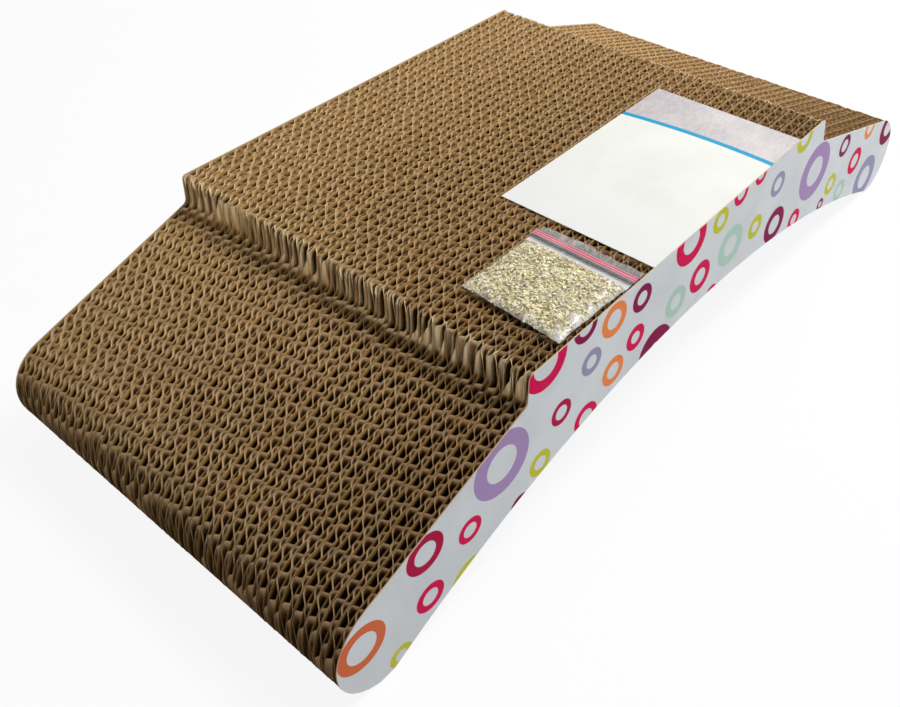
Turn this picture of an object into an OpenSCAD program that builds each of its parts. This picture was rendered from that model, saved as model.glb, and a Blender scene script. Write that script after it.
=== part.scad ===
// Cardboard cat scratcher: a block of die-cut corrugated boards that stand on edge side by side,
// with a printed cover glued on each outer face. A paper leaflet and a small press-seal bag of
// dried catnip lie loose on its raised middle.
// +X runs along the scratcher, +Y across it, +Z up. The origin is on the floor, under its middle.

/* [Side outline] */
// Length over both rounded tips
scratcher_l = 474; // [420:1:540]
// Height of the raised platform above the floor
scratcher_h = 94.5; // [88:0.5:110]
// Length of the platform along its top edge
platform_l = 248; // [180:1:270]
// Height of the step at each end of the platform
riser_h = 15; // [8:0.5:20]
// How far the foot of a step stands out past its top edge
riser_lean = 2; // [0:0.5:4]
// Radius of a rounded tip
tip_r = 26; // [24:0.5:28]
// How far a tip's round is cut off flat where it stands on the floor
foot_cut = 1.5; // [0.5:0.1:2.5]
// Span of the arch underneath, along the floor
arch_span = 424; // [380:1:426]
// Height of the arch at its middle
arch_rise = 46.5; // [30:0.5:52]
// Radius of the platform's top edges
edge_r = 2.5; // [1:0.1:4]
// Radius of the hollow at the foot of a step
foot_r = 4; // [2:0.1:8]

/* [Corrugated board] */
// Number of double-wall boards across the scratcher
board_count = 35; // [30:1:35]
// Thickness of each flat facing paper
liner_t = 0.25; // [0.2:0.01:0.35]
// Thickness of the coarse fluted paper
medium_t = 0.25; // [0.2:0.01:0.35]
// Height of the coarse flutes
coarse_h = 3.6; // [3:0.1:4.6]
// Length of one coarse flute
coarse_pitch = 10.2; // [9:0.1:12]
// Height of the fine flutes
fine_h = 2.2; // [1.8:0.1:2.8]
// Length of one fine flute
fine_pitch = 9; // [8:0.1:11]
// Share of a flute by which each board's cut is shifted against its neighbour's
shift_share = 0.37; // [0:0.01:1]

/* [Printed covers] */
// Thickness of the printed cover on each outer face
cover_t = 0.4; // [0.3:0.05:0.8]

/* [Leaflet] */
// Length of the leaflet, along the scratcher
leaflet_l = 135; // [100:1:138]
// Width of the leaflet, across the scratcher
leaflet_w = 90; // [60:1:100]
// Thickness of the leaflet
leaflet_t = 0.35; // [0.3:0.05:0.6]
// Distance from the bag to the leaflet, along the scratcher
leaflet_gap = 5.5; // [2:0.5:10]

/* [Catnip bag] */
// Length of the bag, along the scratcher
bag_l = 58; // [54:1:62]
// Width of the bag, across the scratcher
bag_w = 58; // [50:1:70]
// Distance of the bag's middle from the platform's middle, towards the left end
bag_x = 73; // [72:1:80]
// Thickness of the film
film_t = 0.2; // [0.15:0.01:0.3]
// Height of the filling
fill_h = 4.2; // [3:0.1:7]
// Width of the welded seam along the bag's bottom and sides
seam_w = 3; // [2:0.1:4]
// Width of the press-seal zip
zip_w = 3.2; // [2.6:0.1:4]
// Height of the press-seal zip when it is shut
zip_h = 1.4; // [1.2:0.1:2]
// Length of the two film lips past the zip
lip_l = 6; // [4:0.5:8]
// Empty length of film between the filling and the zip
slack_l = 5; // [4:0.5:7]

/* [Hidden] */
$fn = 96;
// Measures of the outline, worked out from the sizes above
half_l = scratcher_l / 2;
platform_x = platform_l / 2;
foot_x = platform_x + riser_lean;
foot_z = scratcher_h - riser_h;
tip_x = half_l - tip_r;
tip_z = tip_r - foot_cut;
arch_x = arch_span / 2;
arch_r = (arch_x * arch_x + arch_rise * arch_rise) / (2 * arch_rise);
// The ramp runs from the step's foot to where it just touches the tip's round
foot = [foot_x, foot_z];
tip = [tip_x, tip_z];
ramp_slope = atan2(foot_z - tip_z, tip_x - foot_x) - asin(tip_r / norm(tip - foot));
ramp_down = [cos(ramp_slope), -sin(ramp_slope)];
ramp_touch = tip + tip_r * [sin(ramp_slope), cos(ramp_slope)];
ramp_end = foot + ramp_down * (half_l - foot_x) / cos(ramp_slope);
// Round of the platform's edge, which touches its top and the leaning step
lean_angle = atan2(riser_lean, riser_h);
edge_mid = [platform_x - edge_r * tan(45 - lean_angle / 2), scratcher_h - edge_r];
edge_low = edge_mid + edge_r * [cos(lean_angle), sin(lean_angle)];
// Hollow round at the step's foot, which touches the step and the ramp
riser_up = [-sin(lean_angle), cos(lean_angle)];
foot_wedge = 90 + ramp_slope + lean_angle;
foot_touch = foot_r / tan(foot_wedge / 2);
foot_mid = foot + (ramp_down + riser_up) * foot_r / sin(foot_wedge / 2) / norm(ramp_down + riser_up);

// Plies of one board, from its near face to its far face
board_t = 3 * liner_t + coarse_h + fine_h;
fine_y = liner_t;
middle_y = fine_y + fine_h;
coarse_y = middle_y + liner_t;
back_y = coarse_y + coarse_h;
scratcher_w = board_count * board_t + 2 * cover_t;
boards_y = -scratcher_w / 2 + cover_t;
// Gap that a glue line leaves at the tip of each flute
glue_gap = 0.02;
// How far a cutting shape runs past what it cuts
overrun = 1;
// Steps of the arch's circle in a preview
arch_steps = 720;

// Lie of the loose pieces, which rest on the platform near its front edge
near_y = -scratcher_w / 2;
far_y = -near_y;
leaflet_edge = 0.3;
leaflet_start = leaflet_gap + bag_l / 2 - bag_x;
bag_edge = 0.8;
bag_mid = [-bag_x, near_y + bag_edge + bag_w / 2, scratcher_h];
// Room between the film and what it holds
film_gap = 0.3;
// How far the filling's crown is drawn in from its foot, and the round of its corners
crown_in = 5;
fill_corner_r = 6;
crown_corner_r = 3;
fill_foot_t = 0.4;
fill_l = bag_l - seam_w - slack_l - zip_w - lip_l - 2 * film_gap;
fill_w = bag_w - 2 * seam_w - 2 * film_gap;
fill_x = -bag_l / 2 + seam_w + film_gap + fill_l / 2;
zip_x = bag_l / 2 - lip_l - zip_w / 2;
// Walls of the zip's two interlocking strips, and the play between them
zip_wall = 0.4;
zip_play = 0.05;

card_brown = [0.62, 0.47, 0.31];
print_white = [0.93, 0.93, 0.95];
herb_green = [0.66, 0.65, 0.48];
film_clear = [0.85, 0.87, 0.88, 0.4];
zip_pink = [0.86, 0.25, 0.36];

function board_name(i) = str("board_", i < 10 ? "0" : "", i);

// Side outline, drawn with its height along Y
module side_outline() {
    right = [
        [platform_x, scratcher_h], foot + riser_up * foot_touch, foot + ramp_down * foot_touch,
        ramp_end, [half_l, 0]];
    left = [for (i = [len(right) - 1 : -1 : 0]) [-right[i][0], right[i][1]]];
    difference() {
        polygon(concat(left, right));
        translate([0, arch_rise - arch_r]) circle(r = arch_r, $fn = arch_steps);
        for (side = [0, 1]) mirror([side, 0]) end_waste();
    }
}

// What the rounds take off at one end: the platform's edge, the step's foot and the tip
module end_waste() {
    difference() {
        polygon([
            edge_mid, [edge_mid[0], scratcher_h + overrun],
            [foot_x, scratcher_h + overrun], [foot_x, edge_low[1]], edge_low]);
        translate(edge_mid) circle(r = edge_r);
    }
    intersection() {
        polygon([foot_mid, foot + riser_up * foot_touch, foot, foot + ramp_down * foot_touch]);
        translate(foot_mid) circle(r = foot_r);
    }
    difference() {
        polygon([
            tip, ramp_touch, ramp_touch + [0, overrun], [half_l + overrun, ramp_touch[1] + overrun],
            [half_l + overrun, -overrun], [tip_x, -overrun]]);
        translate(tip) circle(r = tip_r);
    }
}

// A flat sheet of the side outline, from y to y + thick
module flat_sheet(y, thick) {
    translate([0, y + thick, 0]) rotate([90, 0, 0]) linear_extrude(height = thick) side_outline();
}

// The same outline as a cutter for what lies between y and y + thick
module outline_cutter(y, thick) {
    flat_sheet(y - overrun, thick + 2 * overrun);
}

// Coarse medium: a thin zigzag sheet whose flutes stand upright and stay open on both sides
module coarse_medium(shift) {
    flutes = ceil(half_l / coarse_pitch) + 1;
    steps = [-2 * flutes : 2 * flutes];
    low = glue_gap;
    high = coarse_h - medium_t - glue_gap;
    front = [for (i = steps) [(i / 2 + shift) * coarse_pitch, i % 2 == 0 ? low : high]];
    count = len(front);
    back = [for (i = [count - 1 : -1 : 0]) front[i] + [0, medium_t]];
    intersection() {
        translate([0, coarse_y, 0])
            linear_extrude(height = scratcher_h + overrun) polygon(concat(front, back));
        outline_cutter(coarse_y, coarse_h);
    }
}

// Middle liner with the fine medium pasted to it, its small tents closed with glue
module fine_medium(shift) {
    flutes = ceil(half_l / fine_pitch) + 1;
    steps = [-2 * flutes : 2 * flutes];
    crests = [for (i = steps) [(i / 2 + shift) * fine_pitch, i % 2 == 0 ? glue_gap : fine_h]];
    end_x = (flutes + 1) * fine_pitch;
    intersection() {
        translate([0, fine_y, 0]) linear_extrude(height = scratcher_h + overrun)
            polygon(concat(crests, [[end_x, fine_h + liner_t], [-end_x, fine_h + liner_t]]));
        outline_cutter(fine_y, fine_h + liner_t);
    }
}

// One double-wall board, counted from the near side
module board(i) {
    shift = (i * shift_share) % 1;
    color(card_brown) translate([0, boards_y + (i - 1) * board_t, 0]) {
        flat_sheet(0, liner_t);
        fine_medium(shift);
        coarse_medium(1 - shift);
        flat_sheet(back_y, liner_t);
    }
}

// Printed paper cover on the outer face of an end board
module printed_cover(y) {
    color(print_white) flat_sheet(y, cover_t);
}

// Card of the leaflet, whose front edge lies along the platform's front edge
module leaflet() {
    color(print_white)
        translate([leaflet_start, near_y + leaflet_edge, scratcher_h])
            cube([leaflet_l, leaflet_w, leaflet_t]);
}

// Flat plate with round corners, drawn in by inset all round, from z to z + thick
module round_plate(l, w, inset, corner, z, thick) {
    translate([0, 0, z]) linear_extrude(height = thick) hull()
        for (dx = [-1, 1]) for (dy = [-1, 1])
            translate([dx * (l / 2 - inset - corner), dy * (w / 2 - inset - corner)])
                circle(r = corner, $fn = 32);
}

// Pillow of the filling, or of the film round it when grown by a margin
module pillow(margin) {
    translate([fill_x, 0, film_t + film_gap]) hull() {
        round_plate(fill_l, fill_w, -margin, fill_corner_r + margin, -margin, fill_foot_t + margin);
        round_plate(fill_l, fill_w, crown_in - margin, crown_corner_r + margin,
            fill_h - fill_foot_t, fill_foot_t + margin);
    }
}

module on_platform() {
    translate(bag_mid) children();
}

module bag_back_film() {
    color(film_clear) on_platform() translate([-bag_l / 2, -bag_w / 2, 0]) cube([bag_l, bag_w, film_t]);
}

// Front film: it lies on the back film at the seams and lips, and bulges over filling and zip
module bag_front_film() {
    tunnel = zip_w + 2 * film_gap;
    color(film_clear) on_platform() difference() {
        union() {
            translate([-bag_l / 2, -bag_w / 2, film_t]) cube([bag_l, bag_w, film_t]);
            pillow(film_gap + film_t);
            translate([zip_x - tunnel / 2 - film_t, -bag_w / 2, film_t])
                cube([tunnel + 2 * film_t, bag_w, zip_h + film_gap + film_t]);
        }
        pillow(film_gap);
        translate([zip_x - tunnel / 2, -bag_w / 2 - overrun, 0])
            cube([tunnel, bag_w + 2 * overrun, film_t + zip_h + film_gap]);
        translate([-bag_l, -bag_w, -overrun]) cube([2 * bag_l, 2 * bag_w, overrun + film_t]);
    }
}

module herb_filling() {
    color(herb_green) on_platform() pillow(0);
}

// Lower strip of the zip, with the channel that the upper strip's rib presses into
module zip_groove() {
    color(zip_pink) on_platform() translate([zip_x, bag_w / 2, film_t]) rotate([90, 0, 0])
        linear_extrude(height = bag_w) difference() {
            translate([-zip_w / 2, 0]) square([zip_w, zip_h - zip_wall - zip_play]);
            translate([-zip_w / 2 + zip_wall, zip_wall])
                square([zip_w - 2 * zip_wall, zip_h]);
        }
}

// Upper strip of the zip, with its rib pressed into the channel
module zip_rib() {
    rib_w = zip_w - 2 * zip_wall - 2 * zip_play;
    color(zip_pink) on_platform() translate([zip_x, bag_w / 2, film_t]) rotate([90, 0, 0])
        linear_extrude(height = bag_w) {
            translate([-zip_w / 2, zip_h - zip_wall]) square([zip_w, zip_wall]);
            translate([-rib_w / 2, zip_wall + zip_play]) square([rib_w, zip_h - zip_wall - zip_play]);
        }
}

printed_cover(near_y);  // printed_cover_near
printed_cover(far_y - cover_t);  // printed_cover_far
for (i = [1 : board_count])
    board(i);
leaflet();
bag_back_film();
bag_front_film();
herb_filling();
zip_groove();
zip_rib();
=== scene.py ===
"""Cardboard cat scratcher with a leaflet and a bag of catnip lying on it.

Shapes are worked out in millimetres, and MM turns them into the frame's metres. Places in the
shader maths are in metres where they are not multiplied by 1 / MM.
"""

import math
import random

import bmesh
import bpy
import mathutils.noise
import numpy as np
from mathutils import Matrix, Vector


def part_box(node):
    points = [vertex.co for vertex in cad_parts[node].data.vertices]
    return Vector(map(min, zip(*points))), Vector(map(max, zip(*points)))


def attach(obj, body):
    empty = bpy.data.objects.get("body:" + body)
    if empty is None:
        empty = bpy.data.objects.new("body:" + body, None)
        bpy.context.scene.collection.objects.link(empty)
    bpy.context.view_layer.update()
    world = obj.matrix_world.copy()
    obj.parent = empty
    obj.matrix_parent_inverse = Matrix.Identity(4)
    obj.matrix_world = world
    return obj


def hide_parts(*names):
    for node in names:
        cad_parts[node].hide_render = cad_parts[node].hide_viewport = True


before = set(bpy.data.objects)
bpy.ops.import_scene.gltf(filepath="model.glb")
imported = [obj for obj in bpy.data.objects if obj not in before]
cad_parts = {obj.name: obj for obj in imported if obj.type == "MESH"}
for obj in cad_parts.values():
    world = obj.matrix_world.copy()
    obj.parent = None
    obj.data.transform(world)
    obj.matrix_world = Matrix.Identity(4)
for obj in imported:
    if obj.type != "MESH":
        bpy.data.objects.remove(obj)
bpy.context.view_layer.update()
MM = 0.001


# Shader maths and materials


class Wire:
    """A number on a node's socket. Python's operators add Math nodes after it."""

    def __init__(self, finish, socket):
        self.finish, self.socket = finish, socket

    def maths(self, operation, *values):
        inputs = dict(enumerate(values))
        return self.finish.node("ShaderNodeMath", {"operation": operation}, inputs).out()

    def __add__(self, other):
        return self.maths("ADD", self, other)

    def __sub__(self, other):
        return self.maths("SUBTRACT", self, other)

    def __rsub__(self, other):
        return self.maths("SUBTRACT", other, self)

    def __mul__(self, other):
        return self.maths("MULTIPLY", self, other)

    __radd__, __rmul__ = __add__, __mul__

    def __abs__(self):
        return self.maths("ABSOLUTE", self)

    def smaller(self, other):
        return self.maths("MINIMUM", self, other)

    def larger(self, other):
        return self.maths("MAXIMUM", self, other)

    def sine(self):
        return self.maths("SINE", self)

    def rise(self, start, end):
        """0 before start, 1 past end, and a smooth rise between them."""
        settings = {"interpolation_type": "SMOOTHSTEP"}
        values = {"Value": self, 1: start, 2: end}
        return self.finish.node("ShaderNodeMapRange", settings, values).out()


class Made:
    """A node that a finish has made."""

    def __init__(self, finish, node):
        self.finish, self.made = finish, node

    def out(self, name=0):
        return Wire(self.finish, self.made.outputs[name])


class Finish:
    """A procedural material for one of the scratcher's surfaces."""

    def __init__(self, name, roughness=0.8, **plain):
        self.material = bpy.data.materials.new(name)
        self.material.use_nodes = True
        self.tree = self.material.node_tree
        self.shader = self.tree.nodes["Principled BSDF"]
        self.give(Roughness=roughness, **plain)

    def give(self, **values):
        for name, value in values.items():
            self.feed(self.shader.inputs[name.replace("_", " ")], value)

    def feed(self, socket, value):
        if isinstance(value, Wire):
            self.tree.links.new(value.socket, socket)
        else:
            socket.default_value = value

    def node(self, kind, settings=None, values=None):
        node = self.tree.nodes.new(kind)
        for key, value in (settings or {}).items():
            if key == "stops":
                set_stops(node.color_ramp, value)
            else:
                setattr(node, key, value)
        for key, value in (values or {}).items():
            self.feed(node.inputs[key], value)
        return Made(self, node)

    def place(self):
        return self.node("ShaderNodeTexCoord").out("Object")

    def stretched(self, place, scale, turn=(0, 0, 0), move=(0, 0, 0)):
        values = {"Vector": place, "Scale": scale, "Rotation": turn, "Location": move}
        return self.node("ShaderNodeMapping", None, values).out()

    def parts(self, place):
        split = self.node("ShaderNodeSeparateXYZ", None, {0: place})
        return split.out("X"), split.out("Y"), split.out("Z")

    def joined(self, x, y, z):
        return self.node("ShaderNodeCombineXYZ", None, {0: x, 1: y, 2: z}).out()

    def noise(self, place, scale, detail=3.0, roughness=0.55):
        values = {"Vector": place, "Scale": scale, "Detail": detail, "Roughness": roughness}
        return self.node("ShaderNodeTexNoise", None, values).out(0)

    def distance(self, place, point):
        settings = {"operation": "DISTANCE"}
        return self.node("ShaderNodeVectorMath", settings, {0: place, 1: point}).out("Value")

    def mix(self, share, first, second):
        settings = {"data_type": "RGBA"}
        return self.node("ShaderNodeMix", settings, {0: share, 6: first, 7: second}).out(2)

    def layered(self, colour, *layers):
        """Lays tones over a colour one after another, each given as (share, tone)."""
        for share, shade in layers:
            colour = self.mix(share, colour, shade)
        return colour

    def bump(self, height, depth, strength=1.0):
        values = {"Height": height, "Distance": depth, "Strength": strength}
        self.give(Normal=self.node("ShaderNodeBump", None, values).out())


def set_stops(ramp, stops):
    while len(ramp.elements) < len(stops):
        ramp.elements.new(1.0)
    for element, (place, colour) in zip(ramp.elements, stops):
        element.position, element.color = place, colour


def tone(red, green, blue):
    """A colour as a screen shows it, 0 to 255, as the shader needs it."""
    levels = [c / 255 for c in (red, green, blue)]
    linear = [c / 12.92 if c <= 0.04045 else ((c + 0.055) / 1.055) ** 2.4 for c in levels]
    return (*linear, 1.0)


# Side outline of the boards


HALF, TOP = 237.0, 94.5
# Upper corner of the step, the height of its foot, and how far its face leans
STEP_X, STEP_FOOT, LEAN = 124.0, 79.5, 2.0
# Round of the tips, and the arch underneath
TIP_R, TIP_X, TIP_Z = 26.0, 211.0, 24.5
ARCH_X, ARCH_RISE = 212.0, 46.5
ARCH_R = (ARCH_X ** 2 + ARCH_RISE ** 2) / (2 * ARCH_RISE)
RAMP = math.atan2(STEP_FOOT - TIP_Z, TIP_X - STEP_X - LEAN)
RAMP -= math.asin(TIP_R / math.hypot(TIP_X - STEP_X - LEAN, STEP_FOOT - TIP_Z))
# Where the ramp runs over into the tip's round, either side of its middle
RUN_OVER = 2.0


def board_depth(f, place):
    """How deep a point of a board lies under its nearest cut edge, in mm."""
    x, _, z = f.parts(f.stretched(place, (1 / MM, 1 / MM, 1 / MM)))
    x = abs(x)
    block = (TOP - z).smaller(STEP_X + LEAN / 2 - x)
    ramp = (STEP_FOOT + (STEP_X + LEAN) * math.tan(RAMP) - x * math.tan(RAMP) - z) * math.cos(RAMP)
    tip = TIP_R - f.distance(f.joined(x, 0.0, z), (TIP_X, 0, TIP_Z))
    past = (x - TIP_X).rise(-RUN_OVER, RUN_OVER)
    ramp = (ramp * (1 - past) + tip * past).smaller(STEP_FOOT - z)
    arch = f.distance(f.joined(x, 0.0, z), (0, 0, ARCH_RISE - ARCH_R)) - ARCH_R
    return block.larger(ramp).smaller(arch.smaller(z))


# Where the boards' painted light, to the right and far off, and painted shade, near, to the left,
# low down and on the rims towards the left, comes and goes, in metres
PAINTED_LIGHT_RIGHT, PAINTED_LIGHT_FAR = (-0.06, 0.2), (-0.08, 0.1)
PAINTED_SHADE_NEAR, PAINTED_SHADE_LEFT, PAINTED_SHADE_LOW = (-0.115, -0.05), (-0.24, -0.12), (0.02, 0.054)
PAINTED_SHADE_LEFT_RIMS = (-0.22, 0.1)
# Round the step, in metres: its inner and lower side, its leaning face, its groove and its corner
STEP_INNER, STEP_LOWER = 0.112, 0.079
FACE_SLOPE, FACE_LINE = 0.133, 0.1335
GROOVE_TOP = 0.0925
CORNER_X, CORNER_Z = 0.1198, 0.090


def kraft_finish(name, light, tan, fibre_tone, painted_shade_tone, shaded_depths):
    """Brown kraft paper on the flat of a flute or liner: blotched and fibrous, with painted shade
    deep inside under the cut edge, in the step's grooves, near, to the left and low down, and
    painted light on the step's face, to the right and far off.
    """
    f = Finish(name, 0.82, Specular_IOR_Level=0.1)
    place = f.place()
    x, y, z = f.parts(place)
    blotch = f.noise(place, 55, 3)
    fibre = f.noise(f.stretched(place, (900, 900, 160)), 1.0, 4, 0.65)
    ply = f.noise(f.stretched(place, (14, 160, 10)), 1.0, 2)
    streak = f.noise(f.stretched(place, (700, 700, 30)), 1.0, 2)
    by_step = (abs(x) - STEP_INNER).rise(0.0, 0.003) * (z - STEP_LOWER).rise(0.0, 0.003)
    riser = by_step * (abs(x) + z * FACE_SLOPE - FACE_LINE).rise(0.0, 0.0025)
    groove = (by_step - riser).larger(0.0) * (GROOVE_TOP - z).rise(0.0, 0.0015)
    # Painted light on the step's face, in pale streaks
    riser_painted_light = f.mix(streak.rise(0.4, 0.7), tone(255, 236, 194), tone(206, 164, 112))
    brown = f.layered(
        f.mix(blotch.larger(ply).rise(0.4, 0.68), light, tan),
        (fibre.rise(0.45, 0.8) * 0.5, fibre_tone),
        (riser * 0.9, riser_painted_light),
        # Painted shade in the step's grooves
        (groove * 0.8, painted_shade_tone),
        # Painted light to the right and far off; painted shade near, to the left, low down and deep
        # under the nearest cut edge
        (x.rise(*PAINTED_LIGHT_RIGHT) * 0.35, tone(252, 224, 178)),
        (y.rise(*PAINTED_LIGHT_FAR) * 0.32, tone(255, 216, 152)),
        ((1 - y.rise(*PAINTED_SHADE_NEAR)) * 0.2, painted_shade_tone),
        ((1 - x.rise(*PAINTED_SHADE_LEFT)) * 0.25, painted_shade_tone),
        ((1 - z.rise(*PAINTED_SHADE_LOW)) * 0.9, painted_shade_tone),
        (board_depth(f, place).rise(*shaded_depths), painted_shade_tone))
    f.give(Base_Color=brown)
    f.bump(fibre, 0.00012, 0.5)
    return f.material


def kraft_edge_finish(name, dull, fresh):
    """The die-cut edge of the paper: fuzzy, and pale where the corners of the step are torn, with
    painted light far off and painted shade near, to the left and low down.
    """
    f = Finish(name, 0.9, Specular_IOR_Level=0.1)
    place = f.place()
    x, y, z = f.parts(place)
    fuzz = f.noise(place, 900, 3)
    patch = f.noise(place, 70, 2)
    corner = (abs(x) - CORNER_X).rise(0.0, 0.001) * (z - CORNER_Z).rise(0.0, 0.001)
    pale = f.layered(
        f.mix(patch.rise(0.35, 0.7), dull, fresh),
        (fuzz.rise(0.35, 0.75) * 0.45, tone(150, 116, 78)),
        # Painted light far off; painted shade near, to the left and low down
        (y.rise(*PAINTED_LIGHT_FAR) * 0.32, tone(252, 216, 158)),
        ((1 - y.rise(*PAINTED_SHADE_NEAR)) * 0.25, tone(104, 78, 50)),
        ((1 - x.rise(*PAINTED_SHADE_LEFT_RIMS)) * 0.3, tone(116, 94, 70)),
        ((1 - z.rise(*PAINTED_SHADE_LOW)) * 0.7, tone(88, 66, 44)),
        (corner * patch.rise(0.35, 0.6), tone(238, 214, 172)))
    f.give(Base_Color=pale)
    f.bump(fuzz, 0.00008, 0.6)
    return f.material


def top_line():
    """Points of the outline's upper edge, from the middle of the platform to the right tip."""
    points = [(0.0, TOP), (121.8, TOP), (122.8, 94.25), (123.6, 93.5), (124.1, 92.6)]
    points += [(125.5, 82.8), (126.3, 80.6), (127.8, 79.3), (129.5, 78.4)]
    turns = np.linspace(math.pi / 2 - RAMP, 0, 9)
    points += [(TIP_X + TIP_R * math.cos(t), TIP_Z + TIP_R * math.sin(t)) for t in turns]
    return np.array(points)


TOP_LINE = top_line()


def top_at(x):
    """Height of the outline's upper edge."""
    return float(np.interp(abs(x), TOP_LINE[:, 0], TOP_LINE[:, 1]))


def bottom_at(x):
    """Height of its lower edge: the arch, or the round of a tip."""
    x = abs(x)
    if x < ARCH_X:
        return ARCH_RISE - ARCH_R + math.sqrt(ARCH_R ** 2 - x ** 2)
    return max(0.0, TIP_Z - math.sqrt(max(TIP_R ** 2 - (x - TIP_X) ** 2, 0.0)))


# Corrugated boards


BOARDS = 35
PAPER = 0.2
# Room of a liner across the board, and height and pitch of its flutes
LINER_ROOM, FINE_HIGH, COARSE_HIGH = 0.25, 2.2, 3.6
COARSE_PITCH, FINE_PITCH = 7.9, 6.5
# Share of a pitch by which a fluted paper wanders along its board
CREEP = 0.05
# How far a paper's rim lies under the outline, from least to most, and how much more in the middle
BOARD_SUNK, FLUTE_SUNK, LINER_SUNK, MIDDLE_SUNK = (0.0, 0.35), (0.1, 0.35), (0.0, 0.15), 0.45
# How far rims are bent over, how much more at the step's torn corner, and how far down they bend
FLUTE_BEND, LINER_BEND, TORN_BEND, TORN_FROM, TORN_TO = 0.16, 0.1, 2.5, 119.5, 124.5
BEND_REACH = 2.2
# How uneven a rim is up close and over its length, and how far a liner wanders across its board
RIM_ROUGH, RIM_WAVY, LINER_WANDER = 0.12, 0.15, 0.07
# Least height of a sheet and of the part of it under its bent rim
LEAST_SHEET, LEAST_NECK = 0.3, 0.15
# Where sheets also turn, on the underside of a tip
TIP_TURNS = (214.0, 223.0)
# Share of the boards that slipped when they were stacked, how far, and the steady creep of each
SLIPPED, FAR_SLIP, NEAR_SLIP = 0.15, 0.3, 0.05
COARSE_STEP, FINE_STEP = -0.12, -0.08
# Places of the finishes on a board
FLUTE, LINER_RIM, LINER, PAINTED_SHADE_RIM, MIDDLE_LINER, PAINTED_LIGHT_RIM = range(6)


def drift(x, y):
    """How far the stack of boards has been pressed out of line at a point of its plan.

    It fades out at the printed covers and is a little more on the left ramp.
    """
    edge = max(0.0, 1 - (abs(y) / 114.0) ** 8)
    wide = 0.30 * math.sin(x / 31 + y / 17 + 0.6) + 0.24 * math.sin(x / 13.5 - y / 24 + 2.1)
    left = max(0.0, min(1.0, (-x - 120) / 80))
    return edge * (wide + (0.12 + 0.3 * left) * math.sin(x / 5.2 + y / 9 + 4.0))


# Cross-sections of the flutes: share of the pitch along X, and the paper's place from -1, at the
# near liner, to 1, at the far one
COARSE_FLUTE = np.array((
    (0.0, -0.95), (0.04, -0.80), (0.30, 0.70), (0.35, 0.94), (0.46, 1.0), (0.59, 0.98),
    (0.66, 0.74), (0.75, -0.72), (0.80, -0.95), (0.90, -1.0), (1.0, -0.95)))
FINE_FLUTE = np.array((
    (0.0, -0.95), (0.05, -0.78), (0.29, 0.74), (0.37, 1.0), (0.57, 0.98), (0.64, 0.7),
    (0.75, -0.78), (0.83, -1.0), (1.0, -0.95)))
# Each fluted paper's pitch, height, cross-section and place in its board's phases
COARSE_PAPER = (COARSE_PITCH, COARSE_HIGH, COARSE_FLUTE, 0)
FINE_PAPER = (FINE_PITCH, FINE_HIGH, FINE_FLUTE, 1)


def wave(turn, flute):
    """Where a fluted paper lies across its ply, after so many turns of its wave."""
    return float(np.interp(turn % 1.0, flute[:, 0], flute[:, 1]))


class Slow:
    """A smooth random line along the board."""

    def __init__(self, chance, length):
        self.values = [chance.uniform(-1, 1) for _ in range(int(2 * HALF / length) + 3)]
        self.length = length

    def at(self, x):
        u = max(0.0, min(2 * HALF, x + HALF)) / self.length
        i = int(u)
        t = u - i
        t = t * t * (3 - 2 * t)
        return self.values[i] * (1 - t) + self.values[i + 1] * t


def flute_bends(pitch, start, creep, flute):
    """Where a fluted paper bends along X."""
    bends = []
    for k in range(int(-HALF / pitch + start) - 2, int(HALF / pitch + start) + 3):
        for share in flute[:-1, 0]:
            x = pitch * (k + share - start)
            bends.append(x - pitch * CREEP * creep.at(x))
    return bends


def columns(bends, room):
    """Where a sheet bends along X: on its own line, and where its outline turns."""
    ends = HALF - 0.05
    turns = [s * x for s in (-1, 1) for x in (*TOP_LINE[1:, 0], *TIP_TURNS, ARCH_X)]
    turns = [max(-ends, min(ends, x)) for x in turns]
    kept = [x for x in bends if abs(x) < ends and min(abs(x - t) for t in turns) > room]
    return sorted(set(kept + turns + [-ends, ends]))


def add_sheet(mesh, xs, line, rim_low, slump):
    """One paper of a board: a grid drawn to the outline and bent along its line.

    Its upper row is the rim, which lies a little low and leans.
    """
    rows = 2
    made = bmesh.ops.create_grid(mesh, x_segments=len(xs) - 1, y_segments=rows, size=1.0)["verts"]
    for v in made:
        column = round((v.co.x + 1) / 2 * (len(xs) - 1))
        row = round((v.co.y + 1) / 2 * rows)
        x = xs[column]
        low, high = bottom_at(x), top_at(x) - rim_low(x)
        high = max(high, low + LEAST_SHEET)
        neck = max(low + LEAST_NECK, high - BEND_REACH)
        z = (low, neck, high)[row]
        y = line(x)
        if row == rows:
            dx, dy = slump(x)
            x, y = max(-HALF, min(HALF, x + dx)), y + dy
        v.co = (x * MM, (y + drift(x, y)) * MM, z * MM)
    return list(dict.fromkeys(face for v in made for face in v.link_faces))


def stack_phases():
    """How far each board's coarse and fine flutes are shifted along it.

    They creep steadily from board to board, and some boards have slipped.
    """
    chance = random.Random(41)
    coarse, fine, phases = 0.0, 0.0, {}
    for number in range(BOARDS, 0, -1):
        phases[number] = (coarse, fine)
        slip = FAR_SLIP if chance.random() < SLIPPED else NEAR_SLIP
        coarse += chance.uniform(-slip, slip) + COARSE_STEP
        fine += chance.uniform(-slip, slip) + FINE_STEP
    return phases


PHASES = stack_phases()


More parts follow.
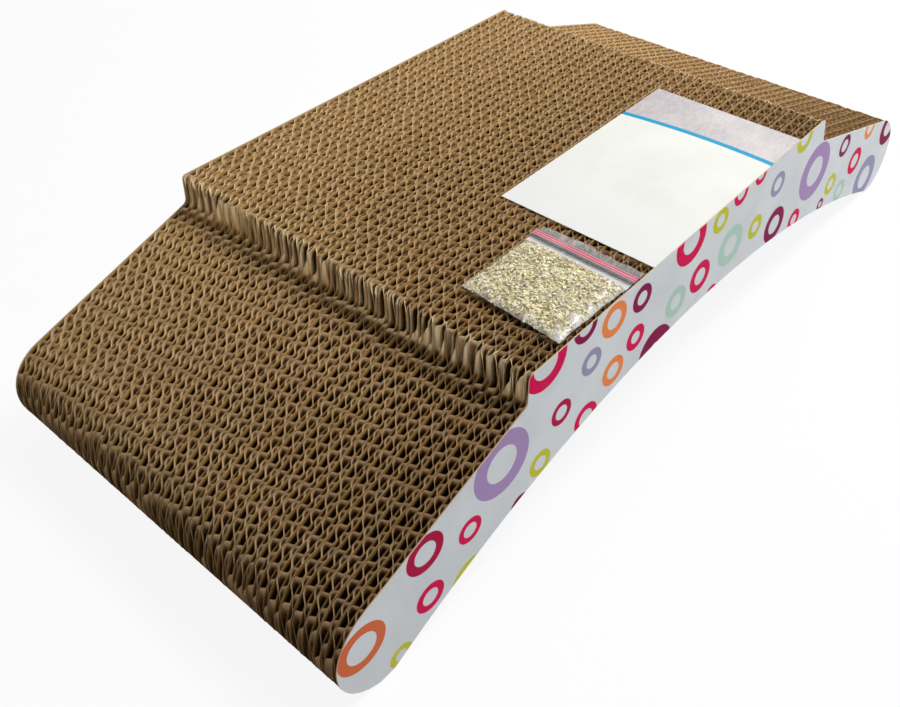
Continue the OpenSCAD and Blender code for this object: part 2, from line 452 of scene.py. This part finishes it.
def add_ply(mesh, chance, middle, flutes, sunk, more_sunk, phases):
    """Adds a liner or a fluted paper at its place across the board, and gives back its faces."""
    rough, rim = Slow(chance, 3.1), Slow(chance, 11)
    lean_x, lean_y = Slow(chance, 4.3), Slow(chance, 5.7)
    base = sunk + chance.uniform(*(FLUTE_SUNK if flutes else LINER_SUNK)) + more_sunk
    bend = FLUTE_BEND if flutes else LINER_BEND

    def rim_low(x):
        return max(0.0, base + RIM_ROUGH * rough.at(x) + RIM_WAVY * rim.at(x))

    def slump(x):
        torn = 1 + TORN_BEND * (TORN_FROM < abs(x) < TORN_TO)
        return bend * torn * lean_x.at(x), bend * torn * lean_y.at(x)

    if flutes:
        pitch, height, flute, phase = flutes
        pitch *= chance.uniform(0.998, 1.002)
        start = phases[phase]
        creep = Slow(chance, 60)
        reach = (height - PAPER) / 2
        xs = columns(flute_bends(pitch, start, creep, flute), 0.2)

        def line(x):
            return middle + reach * wave(x / pitch + start + CREEP * creep.at(x), flute)
    else:
        wander = Slow(chance, 3.9)
        xs = columns(np.arange(-HALF + 1.6, HALF, 3.2), 0.9)

        def line(x):
            return middle + LINER_WANDER * wander.at(x)

    return add_sheet(mesh, xs, line, rim_low, slump)


def corrugated_board(number):
    """One double-wall board: liner, fine flutes, middle liner, coarse flutes, liner."""
    name = f"board_{number:02d}"
    near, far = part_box(name)
    y0, y1 = near.y / MM, far.y / MM
    chance = random.Random(900 + number)
    mesh = bmesh.new()
    coarse_at = y0 + 2 * LINER_ROOM + FINE_HIGH + COARSE_HIGH / 2
    plies = (
        (y0 + LINER_ROOM / 2, None, LINER, 0.0),
        (y0 + LINER_ROOM + FINE_HIGH / 2, FINE_PAPER, FLUTE, 0.0),
        (y0 + LINER_ROOM * 1.5 + FINE_HIGH, None, MIDDLE_LINER, MIDDLE_SUNK),
        (coarse_at, COARSE_PAPER, FLUTE, 0.0),
        (y1 - LINER_ROOM / 2, None, LINER, 0.0),
    )
    sunk = chance.uniform(*BOARD_SUNK)
    for middle, flutes, finish, more_sunk in plies:
        for face in add_ply(mesh, chance, middle, flutes, sunk, more_sunk, PHASES[number]):
            face.material_index = finish
    finish_board(mesh, name)


def rises_along(face):
    """Whether a rim runs up a flute's long flank, where the rim is painted pale as if lit."""
    run = max((e.verts[1].co - e.verts[0].co for e in face.edges), key=lambda d: d.length)
    return run.x * run.y > 0.3 * run.x ** 2


def rim_finish(face):
    """The finish of a sheet's cut rim: its own on liners, painted light up a flute's long flank,
    painted shade on the flutes' other rims.
    """
    if face.material_index == LINER:
        return LINER_RIM
    return PAINTED_LIGHT_RIM if rises_along(face) else PAINTED_SHADE_RIM


def finish_board(mesh, name):
    """Gives the standing sheets their thickness and their cut rims a finish of their own."""
    first = set(mesh.verts)
    bmesh.ops.solidify(mesh, geom=list(mesh.faces), thickness=PAPER * MM)
    for face in mesh.faces:
        old = sum(v in first for v in face.verts)
        face.smooth = True
        if 0 < old < len(face.verts):
            face.material_index = rim_finish(face)
    bmesh.ops.recalc_face_normals(mesh, faces=mesh.faces)
    for e in mesh.edges:
        one_finish = len({face.material_index for face in e.link_faces}) == 1
        e.smooth = one_finish and e.calc_face_angle(0.0) < 0.5
    piece = new_piece(mesh, name + "_plies", *KRAFT)
    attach(piece, "scratcher")
    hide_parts(name)


def new_piece(mesh, name, *materials):
    """Makes an object of a finished bmesh."""
    data = bpy.data.meshes.new(name)
    mesh.to_mesh(data)
    mesh.free()
    for material in materials:
        data.materials.append(material)
    piece = bpy.data.objects.new(name, data)
    bpy.context.scene.collection.objects.link(piece)
    return piece


kraft_liner = kraft_finish(
    "kraft_liner", tone(182, 146, 76), tone(192, 158, 96), tone(148, 112, 56),
    tone(82, 56, 22), (0.0, 3.0))
# The rim finishes are one cut edge in three tones: palest on liners, painted light up the flutes'
# long flanks, painted shade on the flutes' other rims
KRAFT = (
    kraft_finish("kraft_flute", tone(232, 195, 145), tone(242, 209, 164), tone(196, 156, 107),
                 tone(104, 72, 42), (0.9, 5.0)),
    kraft_edge_finish("kraft_cut_edge", tone(214, 178, 130), tone(230, 198, 152)),
    kraft_liner,
    kraft_edge_finish("kraft_edge_painted_shade", tone(142, 110, 72), tone(162, 130, 90)),
    kraft_liner,
    kraft_edge_finish("kraft_edge_painted_light", tone(176, 141, 97), tone(196, 161, 117)),
)
for board_number in range(1, BOARDS + 1):
    corrugated_board(board_number)


# Printed covers

# Each ink and its rings: middle along X and Z, outer radius and the hole's radius
RINGS = {
    "rust": ((204, 102, 60), ((-224, 31, 12, 7.3),)),
    "orange": ((228, 130, 70), (
        (-68, 85, 9, 5), (-68, 54, 8, 4.3), (196, 55, 7.3, 4))),
    "magenta": ((204, 0, 75), (
        (-189, 22, 7.7, 4.2), (-164, 39, 6.7, 3.7), (-88, 40, 8.3, 4.7), (-114, 94, 13.5, 7.5),
        (-51, 62, 7, 3.3), (3, 63, 9, 4.7), (-8, 91, 12.7, 6.7), (16, 42.6, 6, 3.2),
        (55, 95, 5.7, 3), (104, 39, 6.7, 3.3), (181, 39, 8.7, 4.7), (36, 94, 6.7, 3.5))),
    "crimson": ((168, 5, 62), ((-188, 50, 10, 5.7), (-105, 58, 6.7, 3.8))),
    "wine": ((128, 8, 66), (
        (-134, 24.2, 6.6, 3.6), (-88, 95, 8, 4.5), (-47, 83, 7.3, 3.7), (-34, 41.5, 13.5, 4.4),
        (79, 50, 10.7, 5.7), (139, 30, 4, 2), (160, 60, 7, 4), (229, 40, 12, 6))),
    "lilac": ((160, 134, 178), ((-143, 60, 16.7, 9), (122, 62, 17.5, 9))),
    "slate": ((148, 140, 172), ((-84, 72, 7, 3.5), (76, 78, 7.3, 4), (204, 15, 15, 7.8))),
    "lime": ((188, 188, 56), (
        (-208, 4, 6, 3), (-166, 8.4, 13, 7), (-120, 39, 7, 3.7), (18, 88, 7, 3.5),
        (56, 62, 7, 3.3), (101, 94, 8.7, 4.7), (149, 39, 7, 3.5))),
    "sage": ((168, 196, 182), (
        (-18, 61, 8.7, 4.3), (31, 65, 11.7, 6), (165, 26, 7.3, 3.6))),
}


def printed_paper_finish(name):
    """Coated paper with rings printed on it, and the pulp showing on its cut edge."""
    f = Finish(name, 0.5, Specular_IOR_Level=0.03)
    place = f.place()
    flat = f.stretched(place, (1, 0, 1))
    haze = f.noise(place, 30, 2)
    speck = f.noise(place, 1500, 2)
    colour = f.mix(haze.rise(0.3, 0.7), tone(200, 204, 207), tone(208, 212, 215))
    for ink, rings in RINGS.values():
        nearest = None
        for x, z, outer, hole in rings:
            away = f.distance(flat, (x * MM, 0, z * MM))
            ring = abs(away - (outer + hole) / 2 * MM) - (outer - hole) / 2 * MM
            nearest = ring if nearest is None else nearest.smaller(ring)
        patch = f.mix(speck.rise(0.5, 0.9) * 0.02, tone(*ink), tone(220, 190, 200))
        colour = f.mix(1 - nearest.rise(-0.00012, 0.00012), colour, patch)
    normal = f.node("ShaderNodeTexCoord").out("Normal")
    x, y, _ = f.parts(place)
    printed = (f.parts(normal)[1] * y).rise(0.04, 0.07)
    f.give(Base_Color=f.mix(printed, tone(204, 184, 150), colour))
    ribs = (x * (2 * math.pi / (FINE_PITCH * MM))).sine()
    f.bump(ribs * 0.5 + haze * 2 + speck * 0.15, 0.00004, 0.5)
    return f.material


def dress(node, material):
    """A CAD node keeps its mesh and gets its finish."""
    node_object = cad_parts[node]
    node_object.data.materials.clear()
    node_object.data.materials.append(material)


cover_finish = printed_paper_finish("printed_rings")
for side in ("near", "far"):
    dress("printed_cover_" + side, cover_finish)


# Leaflet


# The blue rule across the leaflet: how far along it is at its crest, how far across the crest is,
# how much it curves, and where its two sides start and end
RULE_AT, RULE_CREST, RULE_CURVE = 104, 25, -0.0012
RULE_SIDES = (-0.2, 0.2), (3.0, 3.4)


def leaflet_finish():
    """Coated white card with a blue rule, and a soft grey band past it."""
    f = Finish("leaflet_print", 0.4, Specular_IOR_Level=0.1)
    low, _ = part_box("leaflet")
    place = f.place()
    x, y, _ = f.parts(place)
    along, across = (x - low.x) * (1 / MM), (y - low.y) * (1 / MM)
    haze = f.noise(place, 45, 3)
    speck = f.noise(place, 1800, 2)
    foot = 1 - (along + haze * 10).rise(30, 46)
    white = f.mix(haze.rise(0.3, 0.7), tone(222, 222, 215), tone(227, 227, 220))
    white = f.mix(foot * 0.5, white, tone(228, 229, 230))
    off_crest = across - RULE_CREST
    off_rule = along - (RULE_AT + off_crest * off_crest * RULE_CURVE)
    streaks = f.noise(f.stretched(place, (260, 900, 300), (0, 0, 0.5)), 1.0, 5, 0.65)
    patches = f.noise(place, 28, 2)
    grey = f.mix(streaks.rise(0.2, 0.8), tone(166, 158, 162), tone(200, 193, 193))
    grey = f.mix(patches.rise(0.35, 0.7) * 0.5, grey, tone(222, 216, 214))
    colour = f.layered(
        white,
        (off_rule.rise(*RULE_SIDES[0]), tone(12, 150, 192)),
        (off_rule.rise(*RULE_SIDES[1]), grey),
        (speck.rise(0.5, 0.9) * 0.1, tone(210, 210, 210)))
    f.give(Base_Color=colour)
    f.bump(haze + speck * 0.1, 0.00005, 0.4)
    return f.material


dress("leaflet", leaflet_finish())


# Bag of catnip


bag_near, bag_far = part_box("bag_back_film")
BAG_X, BAG_Y = (bag_near.x + bag_far.x) / 2 / MM, (bag_near.y + bag_far.y) / 2 / MM
BAG_Z, BAG_HALF = bag_near.z / MM, (bag_far.x - bag_near.x) / 2 / MM
# Along the bag from its middle: the zip, and the filling's two ends
ZIP_U, FILL_START, FILL_END = 21.4, -28.8, 15.2
# Half the filling's width, the film's height over it, the film's greatest height and its thickness
FILL_HALF, CROWN, FILM_TOP, FILM = 28.6, 4.5, 5.1, 0.06


def ripple(u, v, seed):
    """Smooth noise from about -1 to 1."""
    return 2 * mathutils.noise.noise(Vector((u, v, seed)))


def shoulder(away, reach):
    """How full the film stands over its seam, from 0 to 1, at a distance in from it."""
    t = 1 - max(0.0, min(1.0, away / reach))
    return math.sqrt(1 - t * t)


def fullness(u, v):
    """How full the bag is at a point along (u) and across (v) it."""
    ends = shoulder(u - FILL_START, 10) * shoulder(FILL_END - u, 9)
    return ends * shoulder(FILL_HALF - abs(v), 10)


def seam_lift(u, v):
    """The welded seams stand off the cardboard where the filling swells the bag."""
    lift = 0.35 + 1.5 * max(0.0, min(1.0, (14 - u) / 36))
    return lift + 0.18 * ripple(u / 9, v / 9, 4.5)


def creases(u, v):
    """Fine puckers that run in from the seams."""
    ends = ripple(v / 1.6, u / 11, 1.5) * math.exp(-max(0.0, u + BAG_HALF) / 4.5)
    sides = ripple(u / 1.7, v / 11, 8.5) * math.exp(-max(0.0, BAG_HALF - abs(v)) / 3.5)
    return 0.28 * (ends + sides)


def front_height(u, v):
    """Upper film over the platform."""
    full = fullness(u, v)
    seam = seam_lift(u, v)
    height = seam + (CROWN - seam) * full
    height += full * (0.3 * ripple(u / 6, v / 6, 2.5) + 0.12 * ripple(u / 2.1, v / 2.1, 6.5))
    zip_over = max(0.0, 1 - (abs(u - ZIP_U) / 2.9) ** 4)
    height = max(height, 2.05 * min(1.0, 1.6 * zip_over))
    lips = max(0.0, (u - ZIP_U - 2.4) / 5)
    height += lips * (0.5 + 0.55 * ripple(v / 7, 0.4, 3.5))
    return min(FILM_TOP, height + creases(u, v) * (1 - 0.6 * full))


def back_height(u, v):
    """Lower film: flat under the filling, and up at its seams to meet the upper one."""
    inset = min(u + BAG_HALF, BAG_HALF - abs(v))
    lift = (1 - min(1.0, max(0.0, inset) / 10)) ** 1.6
    height = 0.12 + (seam_lift(u, v) - 0.3) * lift + creases(u, v) * lift * 0.8
    if u > 14:
        height = 0.12 + 0.15 * lift
    return max(0.1, height)


def pulled_in(u, v):
    """Plan of the film's edge, drawn in a little between the corners by the filling."""
    full_u = u * (1 - 0.016 * (1 - (v / BAG_HALF) ** 2) * max(0.0, -u / BAG_HALF))
    narrow = 0.02 * max(0.0, 1 - ((u + 7) / 22) ** 2)
    wavy = 0.006 * ripple(v / 5, u / 5, 9.5)
    lip = max(0.0, (u - 23) / 6)
    full_u -= lip * (0.45 + 0.45 * ripple(v / 6, 0.2, 5.5))
    foot = (1 - u / BAG_HALF) / 2
    full_u += foot * (0.6 * (1 + v / BAG_HALF) / 2 - 1.8 * (1 - v / BAG_HALF) / 2)
    return full_u, v * (1 - narrow - 0.006 + wavy - 0.02 * foot)


def on_bag(u, v, height):
    """A point of the bag in the frame's metres."""
    return Vector(((BAG_X + u) * MM, (BAG_Y + v) * MM, (BAG_Z + height) * MM))


def bag_sheet(mesh, height_at, steps, span_u, span_v):
    """A grid over part of the bag, lifted to a height at each of its points."""
    made = bmesh.ops.create_grid(mesh, x_segments=steps[0], y_segments=steps[1], size=1.0)["verts"]
    for v in made:
        across = span_v * v.co.y
        along = span_u[0] + (span_u[1] - span_u[0]) * (v.co.x + 1) / 2
        v.co = on_bag(*pulled_in(along, across), height_at(along, across))
    return list(dict.fromkeys(face for v in made for face in v.link_faces))


def settle_bag_piece(mesh, name, material, slot, *nodes):
    """Makes a piece of the bag, which rides on the bag and stands for its CAD nodes."""
    bmesh.ops.recalc_face_normals(mesh, faces=mesh.faces)
    for face in mesh.faces:
        face.smooth = True
    piece = new_piece(mesh, name, material)
    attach(piece, "catnip_bag")
    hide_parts(*nodes)
    return piece


def clear_film_finish():
    """Thin crinkled plastic, nearly clear: milkier at the welds, with a painted highlight along the
    band by the zip, and painted sheen where it is pressed on the flakes near the front and on its
    crinkles.
    """
    f = Finish("clear_film", 0.2)
    place = f.place()
    x, y, _ = f.parts(place)
    along, across = x * (1 / MM) - BAG_X, y * (1 / MM) - BAG_Y
    crease = f.noise(place, 260, 4, 0.6)
    milky = f.noise(place, 75, 3)
    weld = abs(across).rise(26, 28).larger(1 - along.rise(-28, -26)) * (1 - along.rise(14, 17))
    # Painted sheen where the film is pressed on the flakes near the front
    pressed = across.rise(-20, -26.5) * (1 - along.rise(4, 16)) * crease.rise(0.42, 0.6)
    # Painted highlight along the band by the zip, where the film slopes up to the filling
    band = along.rise(13.6, 15.2) * (1 - along.rise(16.8, 18))
    lips = along.rise(23.2, 23.8)
    hem = along.rise(28.0, 28.6)
    guide = along.rise(16.8, 18) * (1 - along.rise(18.6, 19.6))
    veil = 0.03 + weld * 0.1 + pressed * 0.3 + band * 0.42 + guide * 0.1 + lips * 0.05
    # Painted sheen on the crinkles, over the film's milky haze
    veil = veil + hem * 0.15 + milky.rise(0.5, 0.75) * 0.08 + crease.rise(0.58, 0.72) * 0.12
    f.give(Base_Color=f.mix(milky, tone(236, 236, 240), tone(246, 246, 246)), Alpha=veil)
    f.bump(crease, 0.0002, 0.5)
    return f.material


# Shades of the flakes, from the few darkest to the few greenest
LEAF_SHADES = (
    (0.0, tone(118, 104, 70)), (0.12, tone(176, 160, 110)), (0.3, tone(232, 220, 170)),
    (0.52, tone(250, 241, 202)), (0.8, tone(254, 249, 228)), (0.92, tone(240, 214, 168)),
    (1.0, tone(210, 210, 144)))


def catnip_finish():
    """Dried leaf and stem, each flake in its own shade."""
    f = Finish("dried_catnip", 0.85, Specular_IOR_Level=0.2)
    place = f.place()
    shade = f.node("ShaderNodeAttribute", {"attribute_name": "shade"}).out("Fac")
    grain = f.noise(place, 1600, 3)
    ramp = f.node("ShaderNodeValToRGB", {"stops": LEAF_SHADES}, {"Fac": shade}).out()
    f.give(Base_Color=f.mix(grain.rise(0.45, 0.8) * 0.25, ramp, tone(160, 148, 104)))
    f.bump(grain, 0.0001, 0.5)
    return f.material


# Flakes are made a batch at a time, and this share of them are stems
BATCHES, BATCH, STEMS = 24, 85, 0.25


def fill_height(u, v):
    """Top of the heap of catnip, just under the upper film."""
    return max(back_height(u, v) + 0.3, front_height(u, v) - 0.6)


def bed_height(u, v):
    """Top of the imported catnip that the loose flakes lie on."""
    return max(back_height(u, v) + 0.15, fill_height(u, v) - 0.5)


def add_flake(mesh, shade, chance, span):
    """One leaf chip or bit of stem, lying to the heap's slope."""
    u, v = chance.uniform(*span), chance.uniform(0.5 - FILL_HALF, FILL_HALF - 0.5)
    near = 0.6
    rise_u = (fill_height(u + near, v) - fill_height(u - near, v)) / (2 * near)
    rise_v = (fill_height(u, v + near) - fill_height(u, v - near)) / (2 * near)
    slope = Vector((-rise_u, -rise_v, 1)).normalized()
    lie = Vector((0, 0, 1)).rotation_difference(slope).to_matrix().to_4x4()
    tip = Matrix.Rotation(chance.gauss(0, 0.3), 4, "X")
    tip = tip @ Matrix.Rotation(chance.gauss(0, 0.3), 4, "Y")
    turn = Matrix.Rotation(chance.uniform(0, math.tau), 4, "Z")
    stem = chance.random() < STEMS
    long = chance.uniform(2.0, 3.6) if stem else chance.uniform(1.4, 2.8)
    wide = chance.uniform(0.4, 0.6) if stem else long * chance.uniform(0.3, 0.6)
    thick = 0.35 if stem else 0.16
    size = Matrix.Diagonal((long * MM, wide * MM, thick * MM, 1))
    height = fill_height(u, v) + chance.uniform(-0.35, 0.12)
    place = Matrix.Translation(on_bag(*pulled_in(u, v), height)) @ lie @ tip @ turn @ size
    flake = bmesh.ops.create_cone(
        mesh, cap_ends=True, segments=4 if stem else 6, radius1=0.5, radius2=0.42, depth=1.0,
        matrix=place)["verts"]
    colour = min(1.0, max(0.0, chance.gauss(0.6, 0.3)))
    for corner in flake:
        corner.co += slope * chance.uniform(-0.12, 0.12) * MM
        corner[shade] = colour


def catnip_heap():
    """Flakes strewn over a packed bed."""
    chance = random.Random(77)
    mesh = bmesh.new()
    shade = mesh.verts.layers.float.new("shade")
    span = (FILL_START + 0.3, FILL_END - 0.3)
    bed = bag_sheet(mesh, bed_height, (46, 56), span, FILL_HALF - 0.4)
    # The bed takes the darkest shades: catnip's darker bits, and painted shade in the gaps between
    # the loose flakes
    for v in dict.fromkeys(v for face in bed for v in face.verts):
        v[shade] = chance.uniform(0.0, 0.25)
    bmesh.ops.solidify(mesh, geom=bed, thickness=0.2 * MM)
    pinch = bpy.data.meshes.new("pinch")
    for _ in range(BATCHES):
        few = bmesh.new()
        few_shade = few.verts.layers.float.new("shade")
        for _ in range(BATCH):
            add_flake(few, few_shade, chance, span)
        few.to_mesh(pinch)
        few.free()
        mesh.from_mesh(pinch)
    bpy.data.meshes.remove(pinch)
    heap = settle_bag_piece(mesh, "catnip_flakes", catnip_finish(), "dried_herb", "herb_filling")
    for face in heap.data.polygons:
        face.use_smooth = False


def bag_film():
    """The bag's two films, a little inside the CAD's edge."""
    mesh = bmesh.new()
    half = BAG_HALF - 0.1
    for height_at in (front_height, back_height):
        wall = bag_sheet(mesh, height_at, (96, 96), (-half, half), half)
        bmesh.ops.solidify(mesh, geom=wall, thickness=FILM * MM)
    settle_bag_piece(
        mesh, "bag_film", clear_film_finish(), "clear_film", "bag_back_film", "bag_front_film")


def press_seal_finish():
    """Pink plastic strips with a paler line where they press together."""
    f = Finish("press_seal", 0.3)
    place = f.place()
    off = abs(f.parts(place)[0] * (1 / MM) - BAG_X - ZIP_U)
    streak = f.noise(f.stretched(place, (400, 60, 400)), 1.0, 3)
    pink = f.mix(streak.rise(0.35, 0.7), tone(198, 40, 80), tone(220, 68, 102))
    pink = f.mix((1 - off.rise(0.12, 0.3)) * 0.8, pink, tone(232, 190, 200))
    f.give(Base_Color=f.mix(off.rise(1.15, 1.3), pink, tone(186, 178, 180)))
    f.bump(streak, 0.00005, 0.4)
    return f.material


catnip_heap()
bag_film()
seal_finish = press_seal_finish()
for strip in ("zip_groove", "zip_rib"):
    dress(strip, seal_finish)


# Stage, light and camera


def floor_finish():
    """Pale and matt. It shows white to the camera, all white far off, and keeps the soft shadow."""
    f = Finish("studio_floor", 0.9)
    place = f.place()
    haze = f.noise(place, 3, 2)
    far_off = f.distance(place, (0, 0, 0)).rise(0.45, 1.4)
    f.give(Base_Color=f.mix(haze, tone(236, 236, 236), tone(240, 240, 240)))
    path = f.node("ShaderNodeLightPath")
    seen = path.out("Is Camera Ray").larger(path.out("Is Glossy Ray"))
    seen = seen.larger(path.out("Is Transmission Ray"))
    body = Wire(f, f.shader.outputs[0])
    glow = f.node("ShaderNodeEmission", None, {"Color": (1, 1, 1, 1), "Strength": 1.0}).out()
    white = seen * (0.9 + far_off * 0.1)
    shown = f.node("ShaderNodeMixShader", None, {0: white, 1: body, 2: glow}).out()
    f.feed(f.tree.nodes["Material Output"].inputs["Surface"], shown)
    return f.material


def lay_floor():
    """A floor a hair under the scratcher's feet."""
    mesh = bmesh.new()
    bmesh.ops.create_grid(mesh, x_segments=8, y_segments=8, size=6.0)
    bmesh.ops.translate(mesh, verts=mesh.verts, vec=(0, 0, -0.0002))
    new_piece(mesh, "studio_floor", floor_finish())


# Each lamp's direction from the origin, its watts, its width and its distance
LAMPS = {
    "key": ((0.5, -0.3, 0.9), 17.5, 0.5, 1.4),
    "side_fill": ((-1.0, -0.3, 0.15), 8, 1.2, 2.2),
    "front_fill": ((0.1, -1.0, 0.3), 3.5, 1.2, 2.2),
    "top_fill": ((0.3, 0.3, 1.0), 2, 1.8, 2.2),
    "right_fill": ((0.9, 0.2, 0.5), 1.5, 0.4, 0.9),
}


def soft_lamp(name, toward, power, size, reach):
    """A round lamp that shines at the origin."""
    light = bpy.data.lights.new(name, "AREA")
    light.shape, light.size, light.energy = "DISK", size, power
    lamp = bpy.data.objects.new(name, light)
    bpy.context.scene.collection.objects.link(lamp)
    lamp.location = Vector(toward).normalized() * reach
    lamp.rotation_euler = Vector(toward).to_track_quat("Z", "Y").to_euler()


def light_scene():
    """Even air, a white backdrop that only the camera sees, and the lamps."""
    world = bpy.data.worlds.new("studio_air")
    bpy.context.scene.world = world
    world.use_nodes = True
    tree = world.node_tree
    air = tree.nodes["Background"]
    air.inputs["Color"].default_value = (0.97, 0.985, 1.0, 1)
    air.inputs["Strength"].default_value = 0.22
    backdrop = tree.nodes.new("ShaderNodeBackground")
    backdrop.inputs["Color"].default_value = (1, 1, 1, 1)
    path, choice = tree.nodes.new("ShaderNodeLightPath"), tree.nodes.new("ShaderNodeMixShader")
    tree.links.new(path.outputs["Is Camera Ray"], choice.inputs[0])
    tree.links.new(air.outputs[0], choice.inputs[1])
    tree.links.new(backdrop.outputs[0], choice.inputs[2])
    tree.links.new(choice.outputs[0], tree.nodes["World Output"].inputs["Surface"])
    for name, numbers in LAMPS.items():
        soft_lamp(name, *numbers)


def turned(azimuth, elevation, roll):
    """A camera's turn. Azimuth 0 looks along +Y; elevation is above the horizon."""
    a, e, r = (math.radians(t) for t in (azimuth, elevation, roll))
    back = Vector((math.sin(a) * math.cos(e), -math.cos(a) * math.cos(e), math.sin(e)))
    right = Vector((0, 0, 1)).cross(back).normalized()
    up = back.cross(right)
    axes = (right * math.cos(r) + up * math.sin(r), up * math.cos(r) - right * math.sin(r), back)
    return Matrix(axes).transposed().to_4x4()


# The camera that was fitted to the photo: its place in metres, its turn in degrees and its lens
CAMERA_PLACE = (-0.3224, -0.2938, 0.3652)
CAMERA_TURN = (-50.609, 40.470, -0.867)
CAMERA_LENS, CAMERA_SENSOR, CAMERA_SHIFT = 38.83, 36.0, (-0.1223, -0.0676)


def set_camera():
    """The photo's view."""
    eye = bpy.data.cameras.new("photo_view")
    eye.lens, eye.sensor_width = CAMERA_LENS, CAMERA_SENSOR
    eye.shift_x, eye.shift_y = CAMERA_SHIFT
    eye.clip_start, eye.clip_end = 0.01, 50
    camera = bpy.data.objects.new("photo_view", eye)
    bpy.context.scene.collection.objects.link(camera)
    camera.matrix_world = Matrix.Translation(CAMERA_PLACE) @ turned(*CAMERA_TURN)
    bpy.context.scene.camera = camera


lay_floor()
light_scene()
set_camera()
bpy.context.scene.view_settings.view_transform = "Standard"
